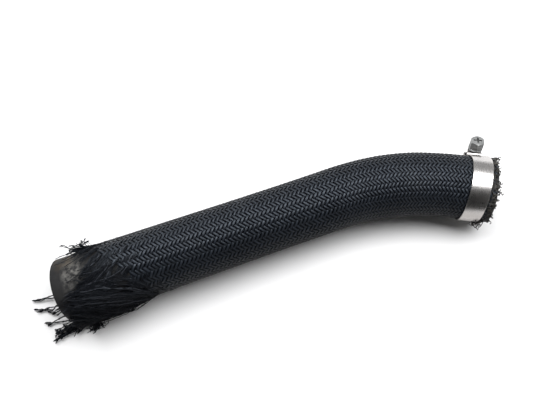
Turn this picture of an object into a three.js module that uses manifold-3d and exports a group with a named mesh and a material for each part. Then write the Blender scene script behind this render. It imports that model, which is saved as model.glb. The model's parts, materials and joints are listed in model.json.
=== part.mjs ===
// A moulded rubber hose in a braided yarn sleeve, with one worm-drive hose clamp.
// Millimetres, +Z up. The hose lies flat: its clamped end runs along +X, and its open mouth is at -X.
import * as THREE from 'three';
import { mergeVertices } from 'three/addons/utils/BufferGeometryUtils.js';
import Module from 'manifold-3d';

const wasm = await Module();
wasm.setup();

const degrees = Math.PI / 180;
const gap = 0.3; // clear space between pieces that touch on the real hose

// Route of the hose: a long straight leg from the mouth, one flat bend, a short straight end.
const legLength = 191;
const bendAngle = 26 * degrees;
const bendRadius = 167;
const endLength = 25;
const bendStart = legLength;
const bendEnd = legLength + bendRadius * bendAngle;
const hoseLength = bendEnd + endLength;

// Section of the hose, from the bore outwards, at the clamped end.
const boreRadius = 15.9; // a 1 1/4 inch hose
const linerWall = 1.1;
const plyWall = 0.4;
const coverWall = 1.4;
const sleeveWall = 1.0;
const plyRadius = boreRadius + linerWall + gap;
const coverRadius = plyRadius + plyWall + gap;
const sleeveRadius = coverRadius + coverWall + gap;

// The hose widens smoothly towards its mouth.
const mouthFlare = 2.4;
const flareLength = 185;

// Where the sleeve starts and stops, measured along the hose from the mouth.
const braidStart = 44;
const fraySkirtStart = 9;
const frayWaves = 4;
const rimRingStart = hoseLength - 3;
const sleeveEnd = hoseLength - 0.5;

// Clamp: a 12 mm stainless band with a screw housing low on the far side.
const bandWidth = 12;
const bandThickness = 0.7;
const bandCentreX = 14; // from the end of the bend
const housingAngle = -27 * degrees; // from +Y towards +Z, so the housing hangs below the far side
const saddleWidth = 14.2;
const housingLength = 16.4;
const housingWall = 0.7;
const tailStartAngle = -73 * degrees;
const tailEndAngle = 8 * degrees;
const tailRampAngle = 12 * degrees;
const slotLength = 7.5;
const slotWidth = 1.1;
const wormPitch = 2.4;
const wormRadius = 3.4;
const wormRoot = 2.7;
const wormLength = 14;
const neckRadius = 2;
const shoulderRadius = 3.2;
const shoulderLength = 1.6;
const flangeRadius = 4.6;
const flangeThickness = 1.2;
const headAcrossFlats = 8;
const headLength = 6.2;
const recessDepth = 2.4;
const recessArm = 5.2;
const recessWidth = 1.2;

const bandRadius = sleeveRadius + sleeveWall + gap;
const bandOuterRadius = bandRadius + bandThickness;
const tailRadius = bandOuterRadius + gap;
const tailOuterRadius = tailRadius + bandThickness;
const wormAxisRadius = tailOuterRadius + gap + wormRadius;

// The band rests on the ground under the clamped end, the widest part of the sleeve under the long leg.
const axisHeight = bandOuterRadius;
const legRise = 1.4;

const aroundHose = 32;

const rubber = { color: 0x2b2b2c, roughness: 0.75 };
const yarn = { color: 0x2c3033, roughness: 0.9 };
const steel = { color: 0xc6c6c2, roughness: 0.25, metalness: 1 };
const zinc = { color: 0x8f908e, roughness: 0.5, metalness: 0.9 };

function namedMesh(name, geometry, finish) {
  const mesh = new THREE.Mesh(geometry, new THREE.MeshStandardMaterial(finish));
  mesh.name = name;
  return mesh;
}

// ---- solids for the few cuts and joins ----

function toSolid(geometry) {
  const bare = geometry.clone();
  bare.deleteAttribute('normal');
  bare.deleteAttribute('uv');
  const merged = mergeVertices(bare, 1e-4);
  return new wasm.Manifold(new wasm.Mesh({
    numProp: 3,
    vertProperties: new Float32Array(merged.attributes.position.array),
    triVerts: new Uint32Array(merged.index.array),
  }));
}

function toGeometry(solid) {
  const mesh = solid.getMesh();
  const geometry = new THREE.BufferGeometry();
  geometry.setAttribute('position', new THREE.BufferAttribute(new Float32Array(mesh.vertProperties), 3));
  geometry.setIndex(new THREE.BufferAttribute(new Uint32Array(mesh.triVerts), 1));
  geometry.computeVertexNormals();
  return geometry;
}

// ---- the hose ----

// Centre and heading of the hose at a distance from the mouth. The bend ends where x and y are 0.
function hoseRoute(distance) {
  const turn = bendAngle * THREE.MathUtils.clamp((bendEnd - distance) / (bendEnd - bendStart), 0, 1);
  const centre = new THREE.Vector3(-Math.sin(turn), Math.cos(turn) - 1, 0).multiplyScalar(bendRadius);
  const heading = new THREE.Vector3(Math.cos(turn), Math.sin(turn), 0);
  const beyond = Math.max(distance - bendEnd, 0) + Math.min(distance - bendStart, 0);
  centre.addScaledVector(heading, beyond);
  centre.z = axisHeight + legRise * Math.max(bendStart - distance, 0) / bendStart;
  return { centre, heading };
}

function flare(distance) {
  return mouthFlare * (1 - THREE.MathUtils.smoothstep(distance, 0, flareLength));
}

// Distances where a bent tube gets a ring of vertices.
function stations(from, to) {
  const between = [];
  const flareSteps = 6;
  const bendSteps = 6;
  for (let i = 1; i <= flareSteps; i++) between.push(flareLength * i / flareSteps);
  for (let i = 0; i <= bendSteps; i++) between.push(bendStart + (bendEnd - bendStart) * i / bendSteps);
  const clear = 2;
  return [from, ...between.filter((s) => s > from + clear && s < to - clear), to];
}

// Lays a straight lathe, whose axis is Y and whose heights are distances, along the route of the hose.
function layAlongHose(geometry) {
  const position = geometry.attributes.position;
  const point = new THREE.Vector3();
  for (let i = 0; i < position.count; i++) {
    point.fromBufferAttribute(position, i);
    const { centre, heading } = hoseRoute(point.y);
    const rightward = new THREE.Vector3(heading.y, -heading.x, 0);
    centre.addScaledVector(rightward, point.x);
    centre.z += point.z;
    position.setXYZ(i, centre.x, centre.y, centre.z);
  }
  geometry.computeVertexNormals();
  return geometry;
}

function straightTube(radius, wall, from, to) {
  const rings = stations(from, to);
  const outer = rings.map((s) => new THREE.Vector2(radius + wall + flare(s), s));
  const inner = rings.map((s) => new THREE.Vector2(radius + flare(s), s)).reverse();
  return new THREE.LatheGeometry([...outer, ...inner, outer[0]], aroundHose);
}

function hoseTube(radius, wall, from, to) {
  return layAlongHose(straightTube(radius, wall, from, to));
}

// The unravelled skirt: a thin tube with a torn, wavy front edge that reaches furthest on the near side.
function frayedSkirt() {
  const tube = straightTube(sleeveRadius, sleeveWall, fraySkirtStart, braidStart - gap);
  const position = tube.attributes.position;
  const reach = 5;
  for (let i = 0; i < position.count; i++) {
    if (position.getY(i) > fraySkirtStart + 1) continue;
    const angle = Math.atan2(position.getZ(i), position.getX(i));
    const wave = Math.cos(angle) + 0.5 * Math.cos(frayWaves * angle);
    position.setY(i, fraySkirtStart - reach * wave);
  }
  return layAlongHose(tube);
}

// A tuft of loose yarn: a flat strip along a curve whose points are distances along, right of and above the
// middle of the mouth.
function looseYarn(width, thickness, localPoints) {
  const { centre, heading } = hoseRoute(0);
  const rightward = new THREE.Vector3(heading.y, -heading.x, 0);
  const points = localPoints.map(([along, right, up]) => centre.clone()
    .addScaledVector(heading, along).addScaledVector(rightward, right).setZ(centre.z + up));
  const section = new THREE.Shape();
  section.absellipse(0, 0, thickness / 2, width / 2, 0, 2 * Math.PI);
  return new THREE.ExtrudeGeometry(section, {
    extrudePath: new THREE.CatmullRomCurve3(points), steps: 12, curveSegments: 5,
  });
}

// ---- the clamp, made round the hose's axis: x along the hose, y away, z up ----

function extruded(outline, depth) {
  return new THREE.ExtrudeGeometry(outline, { depth, bevelEnabled: false, curveSegments: 10 });
}

// A curved plate, as wide as given along X, between two radii and two angles measured from +Y to +Z.
// Its outer face can rise from the inner one over the first taperAngle.
function curvedPlate(inner, outer, from, to, width, taperAngle = 0) {
  const steps = Math.max(6, Math.round((to - from) / (7 * degrees)));
  const outline = new THREE.Shape();
  const sweep = to - from;
  for (let i = 0; i <= steps; i++) {
    const angle = from + sweep * i / steps;
    const rise = taperAngle ? THREE.MathUtils.clamp((angle - from) / taperAngle, 0.2, 1) : 1;
    const radius = inner + (outer - inner) * rise;
    if (i === 0) outline.moveTo(radius * Math.cos(angle), radius * Math.sin(angle));
    else outline.lineTo(radius * Math.cos(angle), radius * Math.sin(angle));
  }
  for (let i = steps; i >= 0; i--) {
    const angle = from + sweep * i / steps;
    outline.lineTo(inner * Math.cos(angle), inner * Math.sin(angle));
  }
  const plate = extruded(outline, width);
  plate.translate(0, 0, -width / 2);
  plate.rotateX(Math.PI / 2).rotateZ(Math.PI / 2); // outline x to Y, outline y to Z, depth to X
  return plate;
}

// The free end of the strip, with the slanted slots that the worm drives.
function slottedTail() {
  const from = tailStartAngle;
  const to = tailEndAngle;
  let solid = toSolid(curvedPlate(tailRadius, tailOuterRadius, from, to, bandWidth, tailRampAngle));
  const slotStep = wormPitch / tailRadius;
  const plainTip = 9 * degrees;
  for (let angle = from + 2 * tailRampAngle; angle < to - plainTip; angle += slotStep) {
    const slot = new THREE.BoxGeometry(slotLength, slotWidth, 4 * bandThickness);
    slot.rotateZ(Math.atan(wormPitch / (2 * Math.PI * wormRadius)));
    slot.rotateX(angle - Math.PI / 2);
    slot.translate(0, tailRadius * Math.cos(angle), tailRadius * Math.sin(angle));
    solid = solid.subtract(toSolid(slot));
  }
  return toGeometry(solid);
}

// Parts of the housing and screw are drawn upright: x along the hose, y along the screw, z outwards.
function housingCover() {
  const side = saddleWidth / 2;
  const roof = tailOuterRadius + gap;
  const dome = wormRadius + gap;
  const foot = bandOuterRadius - 1.6;
  const outline = new THREE.Shape();
  outline.moveTo(-side, foot);
  outline.lineTo(-side + housingWall, foot);
  outline.lineTo(-side + housingWall, roof);
  outline.lineTo(-dome, roof);
  outline.absarc(0, wormAxisRadius, dome, Math.PI, 0, true);
  outline.lineTo(dome, roof);
  outline.lineTo(side - housingWall, roof);
  outline.lineTo(side - housingWall, foot);
  outline.lineTo(side, foot);
  outline.lineTo(side, roof + housingWall);
  outline.lineTo(dome + housingWall, roof + housingWall);
  outline.absarc(0, wormAxisRadius, dome + housingWall, 0, Math.PI, false);
  outline.lineTo(-dome - housingWall, roof + housingWall);
  outline.lineTo(-side, roof + housingWall);
  const shell = extruded(outline, housingLength);
  shell.translate(0, 0, -housingLength / 2);
  shell.rotateX(Math.PI / 2);
  let solid = toSolid(shell);
  for (const end of [-1, 1]) solid = solid.add(endWall(end));
  const seat = bandOuterRadius + gap;
  const saddleTop = new THREE.CylinderGeometry(seat, seat, 2 * saddleWidth, 96);
  saddleTop.rotateZ(Math.PI / 2);
  return toGeometry(solid.subtract(toSolid(saddleTop)));
}

// A wall across one end of the dome, with the hole that the screw's neck turns in.
function endWall(end) {
  const outline = new THREE.Shape();
  const reach = wormRadius + gap + housingWall / 2;
  outline.moveTo(-reach, wormAxisRadius);
  outline.absarc(0, wormAxisRadius, reach, Math.PI, 0, true);
  outline.lineTo(reach, tailOuterRadius + gap);
  outline.lineTo(-reach, tailOuterRadius + gap);
  const hole = new THREE.Path();
  hole.absarc(0, wormAxisRadius, neckRadius + gap, 0, 2 * Math.PI, false);
  outline.holes.push(hole);
  const wall = extruded(outline, housingWall);
  wall.rotateX(Math.PI / 2);
  wall.translate(0, end > 0 ? housingLength / 2 : housingWall - housingLength / 2, 0);
  return toSolid(wall);
}

// A solid of revolution along +Y from points [radius, distance along the screw].
function turned(points, segments) {
  const profile = points.map(([radius, along]) => new THREE.Vector2(radius, along));
  return new THREE.LatheGeometry(profile, segments);
}

function wormThread() {
  const rings = 32;
  const start = -wormLength / 2;
  const points = [[0, start]];
  for (let i = 0; i <= rings; i++) points.push([wormRoot, start + wormLength * i / rings]);
  points.push([0, start + wormLength]);
  const thread = turned(points, 18);
  const position = thread.attributes.position;
  for (let i = 0; i < position.count; i++) {
    const x = position.getX(i);
    const z = position.getZ(i);
    const radius = Math.hypot(x, z);
    const along = position.getY(i);
    const runOut = Math.min(1, (wormLength / 2 - Math.abs(along)) / 0.6);
    if (radius < wormRoot / 2 || runOut <= 0) continue;
    const phase = THREE.MathUtils.euclideanModulo(along / wormPitch + Math.atan2(z, x) / (2 * Math.PI), 1);
    const crest = THREE.MathUtils.clamp(2 - 6 * Math.abs(phase - 0.5), 0, 1) * runOut;
    const grown = (wormRoot + (wormRadius - wormRoot) * crest) / radius;
    position.setX(i, x * grown);
    position.setZ(i, z * grown);
  }
  return toSolid(thread);
}

// The hexagon head, bevelled at its outer corners, with a cross recess in its face.
function hexagonHead(start) {
  const cornerRadius = headAcrossFlats / Math.sqrt(3);
  const prism = new THREE.CylinderGeometry(cornerRadius, cornerRadius, headLength, 6);
  prism.translate(0, start + headLength / 2, 0);
  const bevel = 0.8;
  const blank = turned([
    [0, start - 1], [cornerRadius + 0.2, start - 1], [cornerRadius + 0.2, start + headLength - bevel],
    [headAcrossFlats / 2 - 0.2, start + headLength], [0, start + headLength],
  ], 24);
  let head = toSolid(prism).intersect(toSolid(blank));
  for (const turn of [0, Math.PI / 2]) {
    const arm = new THREE.BoxGeometry(recessArm, 2 * recessDepth, recessWidth);
    arm.rotateY(turn);
    arm.translate(0, start + headLength, 0);
    head = head.subtract(toSolid(arm));
  }
  return head;
}

// The whole screw, turning about the Y axis of its own frame.
function wormScrew() {
  const shoulderStart = housingLength / 2 + gap;
  const flangeStart = shoulderStart + shoulderLength;
  const headStart = flangeStart + flangeThickness;
  const pilotEnd = -housingLength / 2 - 0.6;
  const overlap = 0.4;
  const core = turned([
    [0, pilotEnd], [neckRadius - 0.4, pilotEnd], [neckRadius, pilotEnd + 0.4], [neckRadius, shoulderStart],
    [shoulderRadius, shoulderStart], [shoulderRadius, flangeStart], [flangeRadius - 0.3, flangeStart],
    [flangeRadius, flangeStart + 0.3], [flangeRadius, headStart - 0.3], [flangeRadius - 0.4, headStart],
    [2, headStart], [2, headStart + overlap], [0, headStart + overlap],
  ], 24);
  return toGeometry(toSolid(core).add(wormThread()).add(hexagonHead(headStart - 0.05)));
}

// ---- assembly ----

const hose = new THREE.Group();
const braid = hoseTube(sleeveRadius, sleeveWall, braidStart, rimRingStart - gap);
const rimRing = hoseTube(sleeveRadius, sleeveWall, rimRingStart, sleeveEnd);
hose.add(namedMesh('hose_liner', hoseTube(boreRadius, linerWall, 0, hoseLength), rubber));
hose.add(namedMesh('hose_reinforcement', hoseTube(plyRadius, plyWall, 0, hoseLength), yarn));
hose.add(namedMesh('hose_cover', hoseTube(coverRadius, coverWall, 0, hoseLength), rubber));
hose.add(namedMesh('braided_sleeve', braid, yarn));
hose.add(namedMesh('frayed_sleeve_end', frayedSkirt(), yarn));
hose.add(namedMesh('frayed_sleeve_rim', rimRing, yarn));

// Tufts of yarn pulled out of the skirt: one stands off the far side, one lies on the ground in front, and
// one lies on the ground past the open mouth.
const farTuft = [[31, -24.6, 6], [23, -25.4, 7.5], [13, -26.6, 9]];
const nearTuft = [[14, 13.7, -21.5], [2, 18.5, -21.5], [-10, 22, -21.6], [-22, 26, -21.7]];
hose.add(namedMesh('loose_yarn_far', looseYarn(4, 1.6, farTuft), yarn));
hose.add(namedMesh('loose_yarn_near', looseYarn(5, 1.6, nearTuft), yarn));
const mouthTuft = [[-1.5, -3, -22.1], [-12, -1.5, -22.3], [-23, 1.5, -22.35], [-33, 4, -22.35]];
hose.add(namedMesh('loose_yarn_mouth', looseYarn(7, 1.2, mouthTuft), yarn));

const clamp = new THREE.Group();
clamp.position.set(bandCentreX, 0, axisHeight);
const saddleSweep = housingLength / bandRadius + 2 * degrees;
const saddleFrom = housingAngle - saddleSweep / 2;
const saddleTo = housingAngle + saddleSweep / 2;
const bandFrom = saddleTo + gap / bandRadius;
const bandTo = saddleFrom - gap / bandRadius + 2 * Math.PI;
const ring = curvedPlate(bandRadius, bandOuterRadius, bandFrom, bandTo, bandWidth);
const saddle = curvedPlate(bandRadius, bandOuterRadius, saddleFrom, saddleTo, saddleWidth);
clamp.add(namedMesh('clamp_band', ring, steel));
clamp.add(namedMesh('clamp_saddle', saddle, steel));
clamp.add(namedMesh('band_tail', slottedTail(), steel));

// The housing's frame: its z points out from the hose, its y along the screw towards the head.
const housing = new THREE.Group();
housing.rotation.set(housingAngle - Math.PI / 2, 0, Math.PI);
clamp.add(housing);
housing.add(namedMesh('clamp_housing', housingCover(), steel));
const screw = namedMesh('clamp_screw', wormScrew(), zinc);
screw.position.z = wormAxisRadius;
housing.add(screw);

const part = new THREE.Group();
part.add(hose, clamp);

// The origin is the middle of the footprint, on the ground.
part.updateMatrixWorld(true);
const extent = new THREE.Box3().setFromObject(part, true);
const middle = extent.getCenter(new THREE.Vector3());
part.position.set(-middle.x, -middle.y, -extent.min.z);

export default part;
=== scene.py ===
"""The look of a hose with a braided sleeve and a worm-drive clamp.

Lengths are millimetres.
"""

import json
import math

import bpy
import numpy as np
from mathutils import Matrix, Vector


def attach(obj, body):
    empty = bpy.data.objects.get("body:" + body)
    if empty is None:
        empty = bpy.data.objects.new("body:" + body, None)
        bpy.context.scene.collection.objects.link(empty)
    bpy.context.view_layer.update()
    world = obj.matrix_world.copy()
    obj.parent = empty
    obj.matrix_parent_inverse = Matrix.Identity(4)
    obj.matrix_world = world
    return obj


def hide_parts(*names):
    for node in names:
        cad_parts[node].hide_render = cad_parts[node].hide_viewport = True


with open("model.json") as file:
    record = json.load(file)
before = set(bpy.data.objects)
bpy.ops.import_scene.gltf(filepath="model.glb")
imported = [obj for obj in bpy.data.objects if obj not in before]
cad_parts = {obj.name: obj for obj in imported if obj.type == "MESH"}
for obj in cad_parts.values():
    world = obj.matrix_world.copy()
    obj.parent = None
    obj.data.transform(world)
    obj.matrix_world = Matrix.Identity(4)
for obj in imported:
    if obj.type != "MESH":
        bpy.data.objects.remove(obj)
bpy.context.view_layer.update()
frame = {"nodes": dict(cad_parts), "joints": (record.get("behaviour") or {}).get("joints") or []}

MM = 0.001
TAU = 2 * math.pi
scene = bpy.context.scene
rng = np.random.default_rng(20)

# ---- the route of the hose, the same as the CAD part's ----

LEG, BEND_ANGLE, BEND_RADIUS, END = 191.0, math.radians(26), 167.0, 25.0
BEND_END = LEG + BEND_RADIUS * BEND_ANGLE
HOSE_LENGTH = BEND_END + END
AXIS_HEIGHT, LEG_RISE = 21.7, 1.4
MOUTH_FLARE, FLARE_LENGTH = 2.4, 185.0
BAND_CENTRE = BEND_END + 14.0
COVER_RADIUS = 19.4

joint = {j["name"]: j for j in frame["joints"]}
ring_centre = np.array(joint["tail_feed"]["pos_m"]) / MM
bend_end_point = ring_centre - np.array([14.0, 0.0, AXIS_HEIGHT])


def route(s):
    """Centre, heading and rightward direction of the hose at distances s from its mouth."""
    s = np.asarray(s, float)
    turn = BEND_ANGLE * np.clip((BEND_END - s) / (BEND_END - LEG), 0, 1)
    zero = np.zeros_like(s)
    heading = np.stack([np.cos(turn), np.sin(turn), zero], -1)
    right = np.stack([np.sin(turn), -np.cos(turn), zero], -1)
    centre = BEND_RADIUS * np.stack([-np.sin(turn), np.cos(turn) - 1, zero], -1)
    beyond = np.maximum(s - BEND_END, 0) + np.minimum(s - LEG, 0)
    centre = centre + heading * beyond[..., None]
    centre[..., 2] = AXIS_HEIGHT + LEG_RISE * np.clip((LEG - s) / LEG, 0, 1)
    return centre + bend_end_point, heading, right


def smoothstep(x, low, high):
    t = np.clip((np.asarray(x, float) - low) / (high - low), 0, 1)
    return t * t * (3 - 2 * t)


def flare(s):
    return MOUTH_FLARE * (1 - smoothstep(s, 0, FLARE_LENGTH))


def around(s, angle, radius):
    """Points and outward normals at an angle round the hose: 0 is the near side, a quarter turn is up."""
    centre, heading, right = route(s)
    up = np.zeros_like(centre)
    up[..., 2] = 1
    normal = right * np.cos(angle)[..., None] + up * np.sin(angle)[..., None]
    return centre + normal * np.asarray(radius)[..., None], normal


def at_mouth(along, left, up):
    """A point given from the middle of the mouth."""
    centre, heading, right = route(0.0)
    return centre + along * heading - left * right + np.array([0, 0, up])


# ---- meshes ----


def new_object(name, vertices, quads, attributes=None, smooth=True):
    mesh = bpy.data.meshes.new(name)
    mesh.vertices.add(len(vertices))
    mesh.vertices.foreach_set("co", (np.asarray(vertices) * MM).astype(np.float32).ravel())
    quads = np.asarray(quads, np.int32)
    mesh.loops.add(quads.size)
    mesh.loops.foreach_set("vertex_index", quads.ravel())
    mesh.polygons.add(len(quads))
    mesh.polygons.foreach_set("loop_start", np.arange(0, quads.size, 4, dtype=np.int32))
    mesh.polygons.foreach_set("use_smooth", np.full(len(quads), smooth))
    for key, values in (attributes or {}).items():
        layer = mesh.attributes.new(key, "FLOAT", "POINT")
        layer.data.foreach_set("value", np.asarray(values, np.float32).ravel())
    mesh.update(calc_edges=True)
    mesh.validate()
    obj = bpy.data.objects.new(name, mesh)
    scene.collection.objects.link(obj)
    return obj


def unit(v):
    return v / np.maximum(np.linalg.norm(v, axis=-1, keepdims=True), 1e-9)


LENS_TOP = [[-1, 0], [-0.6, 0.66], [0, 1.0], [0.6, 0.66]]
LENS_BOTTOM = [[1, 0], [0.6, -0.6], [0, -0.8], [-0.6, -0.6]]
LENS = np.array(LENS_TOP + LENS_BOTTOM)
ROUND = np.array([[math.cos(a), math.sin(a)] for a in np.arange(6) * TAU / 6])


class Yarns:
    """Collects many closed strands, and makes them one object."""

    def __init__(self):
        self.vertices, self.quads, self.total = [], [], 0
        self.across, self.along, self.shade = [], [], []

    def add(self, path, normal, half_width, half_height, section, shade, start=0.0):
        """One strand along path, whose section stands on normal."""
        n, m = len(path), len(section)
        tangent = unit(np.gradient(path, axis=0))
        normal = unit(normal - tangent * np.sum(normal * tangent, -1, keepdims=True))
        side = np.cross(tangent, normal)
        width = np.broadcast_to(half_width, (n,))[:, None, None]
        height = np.broadcast_to(half_height, (n,))[:, None, None]
        ring = (
            path[:, None, :]
            + side[:, None, :] * section[None, :, 0, None] * width
            + normal[:, None, :] * section[None, :, 1, None] * height
        )
        i, j = np.meshgrid(np.arange(n - 1), np.arange(m), indexing="ij")
        k = (j + 1) % m
        body = np.stack([i * m + j, (i + 1) * m + j, (i + 1) * m + k, i * m + k], -1).reshape(-1, 4)
        caps = []
        last = (n - 1) * m
        for c in range(m // 2 - 1):
            four = [c, c + 1, m - 2 - c, m - 1 - c]
            caps.append(four)
            caps.append([last + x for x in reversed(four)])
        quads = np.concatenate([body, np.array(caps)])
        self.quads.append(quads + self.total)
        self.vertices.append(ring.reshape(-1, 3))
        step = np.linalg.norm(np.diff(path, axis=0), axis=1)
        length = start + np.concatenate([[0], np.cumsum(step)])
        self.across.append(np.tile(section[:, 0], n))
        self.along.append(np.repeat(length, m))
        self.shade.append(np.full(n * m, shade))
        self.total += n * m

    def make(self, name):
        vertices = np.concatenate(self.vertices)
        quads = np.concatenate(self.quads)
        attributes = {
            "across": np.concatenate(self.across),
            "along": np.concatenate(self.along),
            "shade": np.concatenate(self.shade),
        }
        return new_object(name, vertices, quads, attributes)


# ---- materials ----

RAMP_ENDS = ("From Min", "From Max", "To Min", "To Max")


class Nodes:
    """Builds one material."""

    def __init__(self, name):
        self.material = bpy.data.materials.new(name)
        self.material.use_nodes = True
        self.tree = self.material.node_tree
        self.shader = self.tree.nodes["Principled BSDF"]

    def new(self, kind, **settings):
        node = self.tree.nodes.new(kind)
        for key, value in settings.items():
            setattr(node, key, value)
        return node

    def link(self, source, target):
        self.tree.links.new(source, target)

    def put(self, value, socket):
        if isinstance(value, bpy.types.NodeSocket):
            self.link(value, socket)
        else:
            socket.default_value = value

    def attribute(self, name):
        return self.new("ShaderNodeAttribute", attribute_name=name).outputs["Fac"]

    def position(self):
        return self.new("ShaderNodeTexCoord").outputs["Object"]

    def math(self, operation, a, b=0.0, clamp=False):
        node = self.new("ShaderNodeMath", operation=operation, use_clamp=clamp)
        self.put(a, node.inputs[0])
        self.put(b, node.inputs[1])
        return node.outputs[0]

    def vector(self, x, y, z=0.0):
        node = self.new("ShaderNodeCombineXYZ")
        for value, socket in zip((x, y, z), node.inputs):
            self.put(value, socket)
        return node.outputs[0]

    def noise(self, vector, scale, detail=3.0, roughness=0.55, dimensions="3D"):
        node = self.new("ShaderNodeTexNoise", noise_dimensions=dimensions)
        self.put(vector, node.inputs["Vector"])
        node.inputs["Scale"].default_value = scale
        node.inputs["Detail"].default_value = detail
        node.inputs["Roughness"].default_value = roughness
        return node.outputs["Fac"]

    def ramp(self, value, low, high, out_low=0.0, out_high=1.0):
        node = self.new("ShaderNodeMapRange", interpolation_type="SMOOTHSTEP")
        self.put(value, node.inputs["Value"])
        for key, number in zip(RAMP_ENDS, (low, high, out_low, out_high)):
            node.inputs[key].default_value = number
        return node.outputs["Result"]

    def mix(self, factor, a, b):
        node = self.new("ShaderNodeMix", data_type="RGBA")
        self.put(factor, node.inputs["Factor"])
        for value, socket in ((a, node.inputs[6]), (b, node.inputs[7])):
            self.put(value if isinstance(value, bpy.types.NodeSocket) else (*value, 1.0), socket)
        return node.outputs[2]

    def bump(self, height, strength, distance, normal=None):
        node = self.new("ShaderNodeBump")
        self.put(height, node.inputs["Height"])
        node.inputs["Strength"].default_value = strength
        node.inputs["Distance"].default_value = distance * MM
        if normal is not None:
            self.link(normal, node.inputs["Normal"])
        return node.outputs[0]

    def finish(self, **sockets):
        for key, value in sockets.items():
            self.put(value, self.shader.inputs[key.replace("_", " ")])
        return self.material


def yarn_material(name, dark, light, dirt, dirt_amount, edge=0.3, glint=0.0, gloss=0.3):
    """Filament yarn: light along its crown, with painted shade that darkens its colour towards its edges,
    next to its neighbours, and where it faces down.
    """
    m = Nodes(name)
    across, along, shade = m.attribute("across"), m.attribute("along"), m.attribute("shade")
    coarse_across, coarse_along = m.math("MULTIPLY", across, 3.4), m.math("MULTIPLY", along, 0.16)
    coarse_place = m.vector(coarse_across, coarse_along, m.math("MULTIPLY", shade, 40.0))
    filaments = m.noise(coarse_place, 1.0, 2.0, 0.6)
    fine_place = m.vector(m.math("MULTIPLY", across, 9.0), m.math("MULTIPLY", along, 0.4), shade)
    fine = m.noise(fine_place, 1.0, 2.0, 0.6)
    patches = m.noise(m.position(), 55.0, 4.0, 0.6)
    lit_filaments = m.math("MULTIPLY", m.ramp(filaments, 0.35, 0.7), 0.5)
    tone = m.math("ADD", m.math("MULTIPLY", shade, 0.5), lit_filaments)
    colour = m.mix(tone, dark, light)
    colour = m.mix(m.math("MULTIPLY", m.ramp(patches, 0.52, 0.75), dirt_amount), colour, dirt)
    if glint:
        colour = m.mix(m.math("MULTIPLY", m.ramp(shade, 0.9, 0.97), glint), colour, (0.06, 0.066, 0.078))
    # painted shade: the colour goes to near black towards each strand's edges, and darker again where the
    # surface faces down
    crown = m.ramp(m.math("ABSOLUTE", across), 0.3, 0.95, 1.0, edge)
    facing = m.new("ShaderNodeSeparateXYZ")
    m.link(m.new("ShaderNodeNewGeometry").outputs["Normal"], facing.inputs[0])
    underside_shade = m.ramp(facing.outputs["Z"], 0.1, 0.85, 0.2, 1.0)
    crown = m.math("MULTIPLY", crown, underside_shade)
    colour = m.mix(crown, (0.001, 0.001, 0.0015), colour)
    height = m.math("ADD", filaments, m.math("MULTIPLY", fine, 0.5))
    return m.finish(
        Base_Color=colour,
        Roughness=m.ramp(filaments, 0.3, 0.75, 0.48, 0.32),
        Specular_IOR_Level=m.math("MULTIPLY", crown, gloss),
        Specular_Tint=(0.78, 0.88, 1.0, 1.0),
        Normal=m.bump(height, 0.85, 0.12),
    )


def rubber_material(name):
    """Rubber with pale dust and brown dirt, where the mesh's dust and dirt values say so."""
    m = Nodes(name)
    dust, place = m.attribute("dust"), m.position()
    cloud = m.noise(place, 230.0, 5.0, 0.62)
    speck = m.noise(place, 900.0, 3.0, 0.6)
    grain = m.noise(place, 3500.0, 2.0, 0.5)
    smear = m.noise(place, 60.0, 3.0, 0.5)
    speckled = m.math("ADD", cloud, m.math("MULTIPLY", speck, 0.4))
    pale = m.math("MULTIPLY", dust, m.ramp(speckled, 0.58, 0.86))
    colour = m.mix(m.ramp(smear, 0.3, 0.7), (0.010, 0.010, 0.011), (0.017, 0.017, 0.017))
    colour = m.mix(pale, colour, (0.125, 0.122, 0.115))
    brown = m.math("MULTIPLY", m.attribute("dirt"), m.ramp(cloud, 0.4, 0.62))
    colour = m.mix(brown, colour, (0.060, 0.046, 0.030))
    coarse_height = m.math("ADD", speck, m.math("MULTIPLY", cloud, 1.4))
    height = m.math("ADD", m.math("MULTIPLY", grain, 0.3), coarse_height)
    return m.finish(
        Base_Color=colour,
        Roughness=m.ramp(cloud, 0.3, 0.7, 0.5, 0.72),
        Specular_IOR_Level=0.22,
        Normal=m.bump(height, 0.45, 0.12),
    )


def plain_rubber(name):
    m = Nodes(name)
    place = m.position()
    cloud, grain = m.noise(place, 160.0, 4.0), m.noise(place, 2500.0, 2.0)
    return m.finish(
        Base_Color=m.mix(m.ramp(cloud, 0.35, 0.7), (0.012, 0.012, 0.013), (0.026, 0.026, 0.027)),
        Roughness=m.ramp(cloud, 0.3, 0.7, 0.48, 0.66),
        Normal=m.bump(grain, 0.35, 0.08),
    )


def steel_material(name, low, high):
    """Rolled steel with smudges, whose roughness runs from low to high."""
    m = Nodes(name)
    place = m.position()
    smudge = m.noise(place, 110.0, 4.0, 0.6)
    mapping = m.new("ShaderNodeMapping")
    m.link(place, mapping.inputs["Vector"])
    mapping.inputs["Scale"].default_value = (9000.0, 420.0, 420.0)
    brushed = m.noise(mapping.outputs[0], 1.0, 3.0, 0.6)
    rolled = m.mix(m.ramp(smudge, 0.35, 0.75), (0.60, 0.585, 0.575), (0.53, 0.51, 0.50))
    # painted shade: the steel's colour is darker where its surface faces sideways or down
    upward = m.new("ShaderNodeSeparateXYZ")
    m.link(m.new("ShaderNodeNewGeometry").outputs["Normal"], upward.inputs[0])
    return m.finish(
        Base_Color=m.mix(m.ramp(upward.outputs["Z"], 0.35, 0.8), (0.36, 0.34, 0.325), rolled),
        Metallic=1.0,
        Roughness=m.math("ADD", m.ramp(smudge, 0.3, 0.75, low, high), m.math("MULTIPLY", brushed, 0.12)),
        Normal=m.bump(brushed, 0.12, 0.03),
    )


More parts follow.
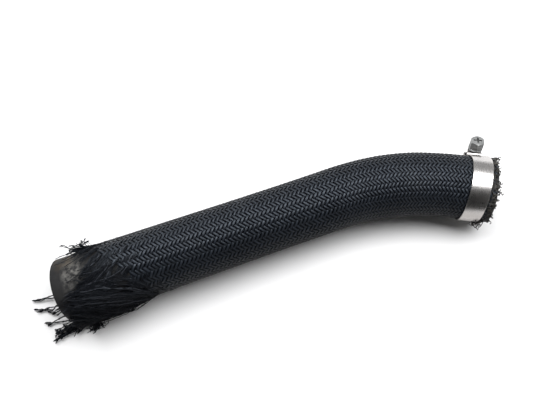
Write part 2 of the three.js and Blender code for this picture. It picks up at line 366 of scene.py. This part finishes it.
def zinc_material(name):
    m = Nodes(name)
    place = m.position()
    cloud, grain = m.noise(place, 450.0, 4.0, 0.6), m.noise(place, 2600.0, 3.0, 0.6)
    return m.finish(
        Base_Color=m.mix(m.ramp(cloud, 0.35, 0.7), (0.25, 0.255, 0.255), (0.15, 0.155, 0.155)),
        Metallic=0.35,
        Roughness=m.ramp(cloud, 0.3, 0.7, 0.42, 0.6),
        Normal=m.bump(grain, 0.5, 0.06),
    )


braid_yarn = yarn_material(
    "braid_yarn", (0.004, 0.005, 0.007), (0.017, 0.021, 0.028), (0.026, 0.029, 0.032), 0.35, 0.08, 0.0, 0.38
)
loose_yarn = yarn_material(
    "loose_yarn", (0.003, 0.0035, 0.005), (0.008, 0.009, 0.012), (0.014, 0.013, 0.012), 0.35, 0.5, 0.9, 0.2
)
rim_yarn = yarn_material(
    "rim_yarn", (0.014, 0.013, 0.010), (0.084, 0.075, 0.060), (0.10, 0.086, 0.064), 0.5, 0.5, 0.8, 0.4
)
worn_rubber = rubber_material("worn_rubber")
bore_rubber = plain_rubber("bore_rubber")
ply = yarn_material("ply_textile", (0.05, 0.048, 0.043), (0.12, 0.115, 0.10), (0.03, 0.03, 0.03), 0.4, 1.0)
band_steel = steel_material("band_steel", 0.19, 0.24)
housing_steel = steel_material("housing_steel", 0.2, 0.34)
dull_zinc = zinc_material("dull_zinc")


def dress(obj, material, body, slot, *nodes):
    obj.data.materials.clear()
    obj.data.materials.append(material)
    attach(obj, body)
    if nodes:
        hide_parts(*nodes)
    return obj


# ---- camera ----

camera_data = bpy.data.cameras.new("camera")
camera = bpy.data.objects.new("camera", camera_data)
scene.collection.objects.link(camera)
scene.camera = camera
camera_data.sensor_width = 36.0
camera_data.lens = 36.65
camera_data.clip_start = 0.01
eye = bend_end_point + np.array([-67.5, -89.9, 388.2])
forward = unit(np.array([-0.1211, 0.1677, -0.9784]))
rightward = np.array([0.9860, 0.1345, -0.0989])
rightward = unit(rightward - forward * np.dot(forward, rightward))
upward = np.cross(rightward, forward)
placed = Matrix.Identity(4)
for column, direction in enumerate((rightward, upward, -forward)):
    for row in range(3):
        placed[row][column] = direction[row]
for row in range(3):
    placed[row][3] = eye[row] * MM
camera.matrix_world = placed

# ---- floor and light ----

floor_size = 3000.0
floor_grid = np.array([[x, y, 0] for x in (-1, 1) for y in (-1, 1)], float) * floor_size / 2
floor = new_object("floor", floor_grid, [[0, 2, 3, 1]])
paper = Nodes("floor_paper")
mottle = paper.noise(paper.position(), 6.0, 2.0)
from_middle = paper.new("ShaderNodeVectorMath", operation="LENGTH")
paper.link(paper.position(), from_middle.inputs[0])
far_away = paper.ramp(from_middle.outputs["Value"], 0.45, 1.3, 0.0, 0.75)
floor_material = paper.finish(
    Base_Color=paper.mix(paper.ramp(mottle, 0.3, 0.7), (0.86, 0.86, 0.865), (0.88, 0.88, 0.885)),
    Roughness=0.9,
    Specular_IOR_Level=0.2,
    Emission_Color=(1.0, 1.0, 1.0, 1.0),
    Emission_Strength=far_away,
)
floor.data.materials.append(floor_material)


def area_light(name, place, aim, width, height, power):
    data = bpy.data.lights.new(name, "AREA")
    data.shape = "RECTANGLE"
    data.size, data.size_y = width, height
    data.energy = power
    light = bpy.data.objects.new(name, data)
    scene.collection.objects.link(light)
    light.location = place
    light.rotation_euler = (Vector(aim) - Vector(place)).to_track_quat("-Z", "Y").to_euler()


area_light("softbox", (0.06, 0.29, 0.66), (0.03, 0.03, 0.0), 1.2, 0.44, 11.7)

world = bpy.data.worlds.new("studio")
scene.world = world
world.use_nodes = True
tree = world.node_tree
background = tree.nodes["Background"]
direction = tree.nodes.new("ShaderNodeTexCoord")
split = tree.nodes.new("ShaderNodeSeparateXYZ")
tree.links.new(direction.outputs["Generated"], split.inputs[0])
sideways = tree.nodes.new("ShaderNodeMath")
sideways.operation = "ABSOLUTE"
tree.links.new(split.outputs["X"], sideways.inputs[0])


def world_ramp(source, numbers):
    """A smooth ramp in the world's nodes."""
    node = tree.nodes.new("ShaderNodeMapRange")
    node.interpolation_type = "SMOOTHSTEP"
    for key, number in zip(RAMP_ENDS, numbers):
        node.inputs[key].default_value = number
    tree.links.new(source, node.inputs["Value"])
    return node.outputs["Result"]


# Bright behind the hose, dark in front of it, and a soft fill at both ends.
behind = world_ramp(split.outputs["Y"], (-0.25, 0.35, 0.012, 0.38))
ends_fill = world_ramp(sideways.outputs[0], (0.3, 0.75, 0.0, 0.18))
both = tree.nodes.new("ShaderNodeMath")
both.operation = "MAXIMUM"
tree.links.new(behind, both.inputs[0])
tree.links.new(ends_fill, both.inputs[1])
seen = tree.nodes.new("ShaderNodeLightPath")
choose = tree.nodes.new("ShaderNodeMix")
tree.links.new(seen.outputs["Is Camera Ray"], choose.inputs[0])
tree.links.new(both.outputs[0], choose.inputs[2])
choose.inputs[3].default_value = 0.95
tree.links.new(choose.outputs[0], background.inputs["Strength"])
background.inputs["Color"].default_value = (1.0, 1.0, 1.0, 1.0)
scene.view_settings.view_transform = "Standard"

# ---- hose layers ----


def hose_tube(profile, segments=128):
    """A closed tube along the hose, from a closed profile of (distance, radius).

    Gives points, quads, and each point's distance and angle.
    """
    s = np.array([p[0] for p in profile])
    radius = np.array([p[1] for p in profile]) + flare(s)
    angle = np.arange(segments) * TAU / segments
    points, _ = around(np.repeat(s, segments), np.tile(angle, len(s)), np.repeat(radius, segments))
    i, j = np.meshgrid(np.arange(len(s)), np.arange(segments), indexing="ij")
    n, k = (i + 1) % len(s), (j + 1) % segments
    corners = [i * segments + j, i * segments + k, n * segments + k, n * segments + j]
    quads = np.stack(corners, -1).reshape(-1, 4)
    return points, quads, np.repeat(s, segments), np.tile(angle, len(s))


def tube_profile(inner, outer, start, end, edge, step=3.0):
    """Outside from start to end, round the far edge, back inside, and round the near edge."""
    bends = [(edge * (1 - math.cos(a)), edge * (1 - math.sin(a))) for a in np.linspace(0, math.pi / 2, 4)]
    along = list(np.arange(start + edge + step, end - edge - step / 2, step))
    outside = [(start + a, outer - b) for a, b in bends] + [(s, outer) for s in along]
    outside += [(end - a, outer - b) for a, b in reversed(bends)]
    inside = [(end - a, inner + b) for a, b in bends] + [(s, inner) for s in reversed(along)]
    inside += [(start + a, inner + b) for a, b in reversed(bends)]
    return outside + inside


points, quads, s, angle = hose_tube(tube_profile(17.85, COVER_RADIUS, 0, HOSE_LENGTH, 0.6))
top = np.exp(-(((angle - 1.9) / 0.5) ** 2))
dust = top * smoothstep(s, 7.0, 11.0) * (1 - smoothstep(s, 17, 24))
dirt = np.exp(-(((angle - 2.5) / 0.35) ** 2)) * (1 - smoothstep(s, 12, 20)) * smoothstep(s, 1, 5)
cover = new_object("hose_cover_skin", points, quads, {"dust": dust, "dirt": dirt})
dress(cover, worn_rubber, "hose", "rubber", "hose_cover")

points, quads, _, _ = hose_tube(tube_profile(15.9, 17.15, 0.1, HOSE_LENGTH - 0.1, 0.35))
liner = new_object("hose_liner_skin", points, quads)
dress(liner, bore_rubber, "hose", "rubber", "hose_liner")

points, quads, s, angle = hose_tube(tube_profile(17.15, 17.85, 0.45, HOSE_LENGTH - 0.45, 0.1))
ply_values = {"across": angle * 12, "along": s, "shade": 0.5 + 0.5 * np.sin(angle * 48)}
ply_ring = new_object("hose_ply_skin", points, quads, ply_values)
dress(ply_ring, ply, "hose", "ply_yarn", "hose_reinforcement")

# ---- braided sleeve ----

BUNDLES = 38
STEP = TAU / BUNDLES
MID_RADIUS, WEAVE = 20.05, 0.37
SLEEVE_STOP = HOSE_LENGTH - 1.2

# The braid lies tighter round the bend than on the leg. The pitch is the distance between neighbours.
route_steps = np.arange(0, HOSE_LENGTH + 1, 0.5)
pitch = np.interp(route_steps, [0, 180, 206, 262, 277], [2.86, 2.86, 2.45, 2.4, 2.3])
twist = STEP / pitch
phase = np.concatenate([[0], np.cumsum((twist[1:] + twist[:-1]) / 2 * 0.5)])
LEG_TILT = math.atan(twist[0] * 20.4)


def weave_height(angle, family):
    lane = 2 * angle / STEP
    wave = np.cos(TAU * (lane - 0.5) / 4)
    return family * WEAVE * np.tanh(1.7 * wave) / math.tanh(1.7)


def by_angle(angle, degrees, values):
    """A value that changes smoothly round the hose, from a few values at angles in degrees."""
    return np.interp(np.degrees(angle) % 360, degrees, values)


def release(angle):
    """Distance from the mouth where the braid lets go of its yarns."""
    return by_angle(angle, [0, 60, 90, 120, 145, 200, 290, 360], [62, 55, 47, 38, 29, 30, 48, 62])


def yarn_edge(angle):
    """Distance from the mouth where most of the loose yarns end."""
    return by_angle(angle, [0, 30, 65, 82, 110, 140, 200, 290, 360], [1, 3, 10, 20, 25, 21, 18, 7, 1])


def bundle_angle(index, family, s):
    return index * STEP + family * np.interp(s, route_steps, phase)


def bulge(s):
    """How far the sleeve stands off the rubber round the bend, before the clamp draws it in."""
    return 0.4 * smoothstep(s, 196, 226) * (1 - smoothstep(s, 240, 258))


def bundle_half_width(s):
    """Side by side bundles just touch, so they get narrower where they lie more steeply round the hose."""
    slope = np.interp(s, route_steps, twist) * 20.4
    return 0.47 * STEP * 20.4 * np.cos(np.arctan(slope))


PER_LANE = 5.72 / 11
strands = [Yarns() for _ in range(4)]
released = []
for family in (1, -1):
    for index in range(BUNDLES):
        let_go = 80.0
        while let_go > 20 and let_go > release(bundle_angle(index, family, let_go)):
            let_go -= 0.25
        let_go += rng.normal(0, 3.5)
        stop = SLEEVE_STOP + rng.uniform(-1.2, 0.8)
        s = np.arange(let_go - 3.0, stop, PER_LANE)
        angle = bundle_angle(index, family, s)
        loosened = 1 - smoothstep(s, let_go, let_go + 18)
        angle = angle + 0.035 * loosened * np.sin(s * 0.55 + rng.uniform(0, TAU))
        fading = smoothstep(s, let_go - 3.0, let_go + 7.0)
        height = weave_height(angle, family) * (0.5 + 0.5 * fading) - 0.25 * (1 - fading)
        lift = 0.5 * loosened * fading * rng.uniform(0.0, 1.0)
        squeeze = 0.12 * smoothstep(s, BAND_CENTRE - 7, BAND_CENTRE - 5.5)
        flick = 0.6 * smoothstep(s, BAND_CENTRE + 6.4, HOSE_LENGTH) * rng.uniform(-0.2, 1.0)
        path, normal = around(s, angle, MID_RADIUS + flare(s) + bulge(s) + height + lift - squeeze + flick)
        path[:, 2] = np.maximum(path[:, 2], 0.34)
        width = bundle_half_width(s) * (1 + 0.05 * np.sin(s * 0.37 + index)) * (1 + 0.05 * flare(s))
        width = width * rng.uniform(0.92, 1.0) * (0.55 + 0.45 * fading)
        thick = 0.29 * (0.45 + 0.55 * fading)
        strand = strands[index % 2 + (2 if family < 0 else 0)]
        strand.add(path, normal, width, thick, LENS, rng.uniform(), index * 7.3)
        released.append((index, family, let_go))

for number, yarns in enumerate(strands):
    piece = yarns.make(f"sleeve_bundles_{number + 1}")
    dress(piece, braid_yarn, "hose", "sleeve_yarn", *(["braided_sleeve"] if number == 0 else []))

# ---- unravelled yarns at the mouth ----

PER_BUNDLE = 9
combed = [Yarns() for _ in range(3)]
for index, family, let_go in released:
    for part in range(PER_BUNDLE):
        share = (part + 0.5) / PER_BUNDLE * 2 - 1
        overlap = rng.uniform(3.0, 9.0)
        s = let_go + overlap
        angle = float(bundle_angle(index, family, s))
        tilt_end = math.radians(rng.normal(13, 8) if family > 0 else rng.normal(16, 9))
        ease = rng.uniform(7, 19)
        stray = rng.exponential(4.0) if rng.uniform() < 0.35 else rng.normal(-1.0, 2.2)
        droop = rng.uniform(0.1, 1.0) ** 1.5
        wobble = math.radians(rng.uniform(3, 12))
        wave = rng.uniform(9, 26)
        phase_0 = rng.uniform(0, TAU)
        layer = rng.uniform(0.0, 1.0)
        offset = share * 0.95
        path = []
        length, step = 0.0, 0.9
        while True:
            loose = max(0.0, length - overlap / math.cos(LEG_TILT))
            tilt = tilt_end + (LEG_TILT - tilt_end) * math.exp(-((loose / ease) ** 2))
            tilt += wobble * min(1, loose / 8) * math.sin(TAU * length / wave + phase_0)
            radius = MID_RADIUS + float(flare(s))
            rise = float(smoothstep(length, 0, overlap / math.cos(LEG_TILT) + 2))
            if loose == 0:
                height = float(weave_height(angle, family)) + 0.22 * rise
            else:
                fade = math.exp(-((loose / 6) ** 2))
                above = 0.4 * family * math.tanh((math.degrees(angle) % 360 - 75) / 15)
                woven = float(weave_height(angle, family)) + 0.22
                height = fade * woven + (1 - fade) * (layer * 1.1 - 0.2 + above)
                height += 0.14 * math.sin(TAU * loose / 6 + phase_0)
                under = math.exp(-(((math.degrees(angle) + 205) % 360 - 180) / 38) ** 2)
                height += 6.0 * droop * under * float(smoothstep(loose, 4, 34))
            spread = offset / radius / math.cos(tilt) * (1 + 0.05 * loose)
            path.append([s, angle + spread, radius + height])
            s -= math.cos(tilt) * step
            angle -= family * math.sin(tilt) * step / radius
            length += step
            if s < 0.5 or length > 90 or s < float(yarn_edge(angle)) - stray:
                break
        path = np.array(path)
        points, normal = around(path[:, 0], path[:, 1], path[:, 2])
        points[:, 2] = np.maximum(points[:, 2], 0.4 + 0.8 * layer)
        thick = rng.uniform(0.15, 0.25) * np.interp(np.arange(len(points)), [0, 6], [0.35, 1.0])
        combed[part % 3].add(points, normal, thick, thick, ROUND, rng.uniform(), rng.uniform(0, 90))
for number, yarns in enumerate(combed):
    piece = yarns.make(f"combed_yarns_{number + 1}")
    dress(piece, loose_yarn, "hose", "sleeve_yarn", *(["frayed_sleeve_end"] if number == 0 else []))


def curly(yarns, start, end, bow, curl, thick, tip=1.0, samples=36, pressed=False):
    """One kinked filament from start to end. It bows sideways, and stays above the floor.

    A pressed one keeps under the clamp band wherever the band can slide.
    """
    start, end = np.asarray(start, float), np.asarray(end, float)
    t = np.linspace(0, 1, samples)[:, None]
    length = np.linalg.norm(end - start)
    sideways_bow = rng.normal(0, 1, 3) * bow * length
    path = start + (end - start) * t + sideways_bow * 4 * t * (1 - t)
    for wave in (rng.uniform(2.2, 4.0), rng.uniform(4.5, 8.0)):
        a, b = unit(rng.normal(0, 1, 3)), unit(rng.normal(0, 1, 3))
        turn = TAU * t * length / wave
        size = curl * wave / 5 * np.minimum(1, t * 3)
        across_a = a * np.sin(turn + rng.uniform(0, TAU))
        across_b = b * np.cos(turn + rng.uniform(0, TAU))
        path = path + size * (across_a + across_b)
    radius = np.full(samples, thick)
    radius[-3:] *= [1 + (tip - 1) * 0.6, tip, tip * 0.8]
    if pressed:
        from_axis = path[:, 1:] - ring_centre[1:]
        reach = np.linalg.norm(from_axis, axis=1)
        room = 20.9 - radius + 3.0 * smoothstep(path[:, 0] - ring_centre[0], 10.3, 13.0)
        path[:, 1:] = ring_centre[1:] + from_axis * np.minimum(1, room / reach)[:, None]
    path[:, 2] = np.maximum(path[:, 2], radius + 0.15)
    up = np.tile(unit(rng.normal(0, 1, 3)), (samples, 1))
    yarns.add(path, up, radius, radius, ROUND, rng.uniform(), rng.uniform(0, 90))


def tuft(yarns, roots, tips, count, spread_root, spread_tip, bow, curl, thick, tip=1.3):
    """Filaments between the line of roots and the line of tips, each a list of points from the mouth."""
    for _ in range(count):
        where = rng.uniform()
        ends = []
        for line, spread in ((roots, spread_root), (tips, spread_tip)):
            line = np.array([at_mouth(*p) for p in line])
            along = where * (len(line) - 1)
            i = min(int(along), len(line) - 2)
            point = line[i] + (line[i + 1] - line[i]) * (along - i)
            ends.append(point + rng.normal(0, 1, 3) * spread)
        curly(yarns, ends[0], ends[1], bow, curl, rng.uniform(*thick), tip)


def kinked(yarns, knots, thick, jitter=0.0, blob=1.5):
    """One stiff filament through a few points given from the mouth, with soft kinks and a knotted tip."""
    knots = np.array([at_mouth(*p) for p in knots])
    knots[1:] += rng.normal(0, 1, (len(knots) - 1, 3)) * jitter
    at = np.linspace(0, len(knots) - 1, 9 * (len(knots) - 1) + 1)
    path = np.stack([np.interp(at, np.arange(len(knots)), knots[:, k]) for k in range(3)], -1)
    for _ in range(2):
        path[1:-1] = (path[:-2] + path[1:-1] * 2 + path[2:]) / 4
    path[2:-1] += rng.normal(0, 0.09, (len(path) - 3, 3))
    radius = thick * (1 + 0.18 * np.sin(np.arange(len(path)) * 0.9 + rng.uniform(0, TAU)))
    radius[-5:] = thick * np.array([1.0, 0.75 + blob / 3, blob, blob, blob * 0.55])
    path[:, 2] = np.maximum(path[:, 2], radius + 0.12)
    up = np.tile(unit(rng.normal(0, 1, 3)), (len(path), 1))
    yarns.add(path, up, radius, radius, ROUND, rng.uniform(0, 0.8), rng.uniform(0, 90))


# Points of the tufts are given as (along, left, up) from the middle of the mouth.
far = Yarns()
far_roots = [(28, 20, 10), (22, 20.5, 9)]
far_tips = [(22, 24.5, 9), (15, 26, 9), (12, 23, 8)]
far_ends = [
    (5.5, 28.5, 7),
    (9, 22, 6),
    (8, 20.8, 4.5),
    (12, 26.5, 8),
    (24, 26.5, 9.5),
    (20, 27, 9),
    (11, 24, 7),
]
tuft(far, far_roots, far_tips, 30, 0.8, 1.1, 0.1, 0.4, (0.14, 0.24))
for tip in far_ends:
    for _ in range(2):
        middle = (tip[0] * 0.5 + 10, tip[1] * 0.4 + 13, tip[2] + 1)
        neck = (tip[0] + 3, tip[1] - 0.6, tip[2] + 0.6)
        kinked(far, [(27, 20, 10), middle, neck, tip], rng.uniform(0.2, 0.3), 0.5, 1.4)
dress(far.make("yarn_tuft_far"), loose_yarn, "hose", "sleeve_yarn", "loose_yarn_far")

near = Yarns()
rope_tips = [(-12, -23.5, -19), (-16, -22, -20.5)]
brush_tips = [(-25, -27.2, -21), (-20, -25, -21), (-24, -21.5, -21)]
side_tips = [(0, -27.5, -20.5), (2, -29.5, -21), (7, -28.5, -21), (13, -28.2, -20)]
near_ends = [
    (-26, -27.7, -21.3),
    (-25, -21, -21.3),
    (-22, -26.5, -21.3),
    (-8, -27, -21.3),
    (-24, -23.5, -21),
    (-11, -27.5, -21),
    (-19, -20.5, -21),
]
tuft(near, [(14, -21, -15), (0, -22, -18)], rope_tips, 26, 1.0, 1.2, 0.05, 0.3, (0.22, 0.36))
tuft(near, [(2, -22, -18.5), (-8, -22, -19.5)], brush_tips, 20, 1.0, 1.2, 0.05, 0.3, (0.2, 0.34), 1.5)
for tip in near_ends:
    for _ in range(3):
        middle = (tip[0] * 0.45 - 2, tip[1] * 0.5 - 11, -19.8)
        neck = (tip[0] + 5, (tip[1] * 2 - 22) / 3, -20.6)
        kinked(near, [(4, -21.5, -18), middle, neck, tip], rng.uniform(0.22, 0.34), 0.9, 1.5)
tuft(near, [(12, -22, -18), (4, -23, -19)], side_tips, 34, 1.2, 1.0, 0.14, 0.5, (0.17, 0.27))
dress(near.make("yarn_tuft_near"), loose_yarn, "hose", "sleeve_yarn", "loose_yarn_near")

mouth = Yarns()
for knots in (
    [(3, 5, -22.3), (-12, 1, -18.5), (-22, 3.4, -19.5), (-28, 3.2, -20.5), (-35.5, 4.4, -21)],
    [(3, 2, -22.3), (-10, -2, -17.5), (-17, 0.5, -18), (-25, 2.6, -20), (-33, 4.6, -21)],
    [(3, -4, -22.3), (-18, -5, -18), (-23, -6.5, -20), (-29, -3.5, -21), (-36, -1.5, -21.5)],
    [(2, -5, -22.2), (-16, -5.5, -18.5), (-24, -3.8, -20.5), (-33.5, -4.2, -21.5)],
    [(3, -6.5, -22.2), (-18, -7.5, -19), (-22, -8.5, -20.5), (-26.5, -6.2, -21)],
    [(2, -8, -22.1), (-15, -7.5, -19), (-23.5, -9.5, -21)],
    [(3, -9.5, -22), (-14, -9.5, -19), (-20.5, -11, -21)],
    [(2, -12, -21.5), (-15, -13, -19), (-21, -13.5, -20.5), (-28.5, -15.5, -21.5)],
    [(2, -14, -21.2), (-13, -17, -19.5), (-22, -15.5, -21), (-30.5, -13, -21.5)],
):
    for _ in range(2):
        kinked(mouth, knots, rng.uniform(0.28, 0.38), 0.45)
dress(mouth.make("yarn_tuft_mouth"), loose_yarn, "hose", "sleeve_yarn", "loose_yarn_mouth")

# ---- cut edge at the clamp end ----

rim = Yarns()
for index, family, _ in released:
    for part in range(6):
        s0 = SLEEVE_STOP - rng.uniform(0.3, 4.0)
        angle = bundle_angle(index, family, s0) + rng.uniform(-1, 1) * 0.07
        radius = MID_RADIUS + rng.uniform(0.0, 0.8)
        start, _ = around(np.array(s0), np.array(angle), np.array(radius))
        reach = abs(rng.normal(1.7, 0.7))
        turned = angle + family * rng.uniform(-0.02, 0.14)
        end, _ = around(np.array(s0 + reach), np.array(turned), np.array(radius + rng.normal(0.1, 0.5)))
        curly(rim, start, end, 0.2, 0.35, rng.uniform(0.2, 0.36), 1.2, 12, True)
# Longer wisps: angle, root's distance back from the cut edge, reach past the edge, lift, and how many.
wisps = [
    (2.75, 1, 4.5, 1.5, 12),
    (1.35, 1, 4.5, 0.5, 7),
    (-0.15, 3.5, -8.5, 4.6, 34),
    (1.9, 1, 2.0, 1.0, 5),
]
for angle, back, reach, lift, count in wisps:
    for _ in range(count):
        a0 = angle + rng.normal(0, 0.09)
        start, _ = around(np.array(SLEEVE_STOP - back), np.array(a0), np.array(MID_RADIUS))
        end_s = np.array(SLEEVE_STOP + reach * rng.uniform(0.2, 1))
        end_angle = np.array(a0 + rng.normal(0, 0.1))
        end, _ = around(end_s, end_angle, np.array(MID_RADIUS + lift * rng.uniform(0.2, 1)))
        curly(rim, start, end, 0.25, 0.5, rng.uniform(0.17, 0.27), 1.3, 20, back == 1)
dress(rim.make("sleeve_rim_fringe"), rim_yarn, "hose", "sleeve_yarn", "frayed_sleeve_rim")

# ---- clamp ----

BAND_WIDTH, BAND_INNER, BAND_OUTER = 12.0, 21.0, 21.7
HOUSING_ANGLE = math.radians(-27)
saddle_sweep = 16.4 / BAND_INNER + math.radians(2)
band_from = HOUSING_ANGLE + saddle_sweep / 2 + 0.3 / BAND_INNER
band_to = HOUSING_ANGLE - saddle_sweep / 2 - 0.3 / BAND_INNER + TAU


def band_ring():
    """The strip, with soft edges, bent round the hose a little askew. Angles are from +Y towards +Z."""
    edge, half = 0.22, BAND_WIDTH / 2
    outline = []
    outer_corners = ((half, BAND_OUTER, 0), (-half, BAND_OUTER, 90))
    inner_corners = ((-half, BAND_INNER, 180), (half, BAND_INNER, 270))
    for x, r, start in outer_corners + inner_corners:
        cx, cr = x - math.copysign(edge, x), r + (edge if r == BAND_INNER else -edge)
        for a in np.radians(np.linspace(start, start + 90, 5)):
            outline.append((cx + edge * math.cos(a), cr + edge * math.sin(a)))
    outline = np.array(outline)
    angles = np.linspace(band_from, band_to, 160)
    n, m_ = len(angles), len(outline)
    r = np.tile(outline[:, 1], n)
    a = np.repeat(angles, m_)
    away = smoothstep(np.abs(a - HOUSING_ANGLE - math.pi), math.radians(157), math.radians(95))
    lean = 1.3 * (np.cos(a) - math.cos(HOUSING_ANGLE)) + 1.2 * (np.sin(a) - math.sin(HOUSING_ANGLE))
    x = np.tile(outline[:, 0], n) + away * lean
    points = ring_centre + np.stack([x, r * np.cos(a), r * np.sin(a)], -1)
    i, j = np.meshgrid(np.arange(n - 1), np.arange(m_), indexing="ij")
    k = (j + 1) % m_
    quads = np.stack([i * m_ + j, (i + 1) * m_ + j, (i + 1) * m_ + k, i * m_ + k], -1).reshape(-1, 4)
    caps = []
    for c in range(m_ // 2 - 1):
        four = [c, c + 1, m_ - 2 - c, m_ - 1 - c]
        caps += [four, [(n - 1) * m_ + q for q in reversed(four)]]
    return points, np.concatenate([quads, np.array(caps)])


points, quads = band_ring()
dress(new_object("clamp_band_strip", points, quads), band_steel, "clamp", "stainless", "clamp_band")


def softened(node, name, material, body, slot, width, segments=2):
    """A copy of a CAD node with its sharp edges rounded."""
    mesh = frame["nodes"][node].data.copy()
    mesh.name = name
    copy = bpy.data.objects.new(name, mesh)
    scene.collection.objects.link(copy)
    for polygon in mesh.polygons:
        polygon.use_smooth = True
    bevel = copy.modifiers.new("soft_edges", "BEVEL")
    bevel.width = width * MM
    bevel.segments = segments
    bevel.limit_method = "ANGLE"
    bevel.angle_limit = math.radians(35)
    bevel.harden_normals = True
    return dress(copy, material, body, slot, node)


softened("clamp_housing", "clamp_housing_cover", housing_steel, "clamp", "stainless", 0.16)
softened("clamp_saddle", "clamp_saddle_plate", band_steel, "clamp", "stainless", 0.15)
softened("band_tail", "clamp_band_tail", band_steel, "tail", "stainless", 0.08)
softened("clamp_screw", "clamp_worm_screw", dull_zinc, "screw", "zinc", 0.12)
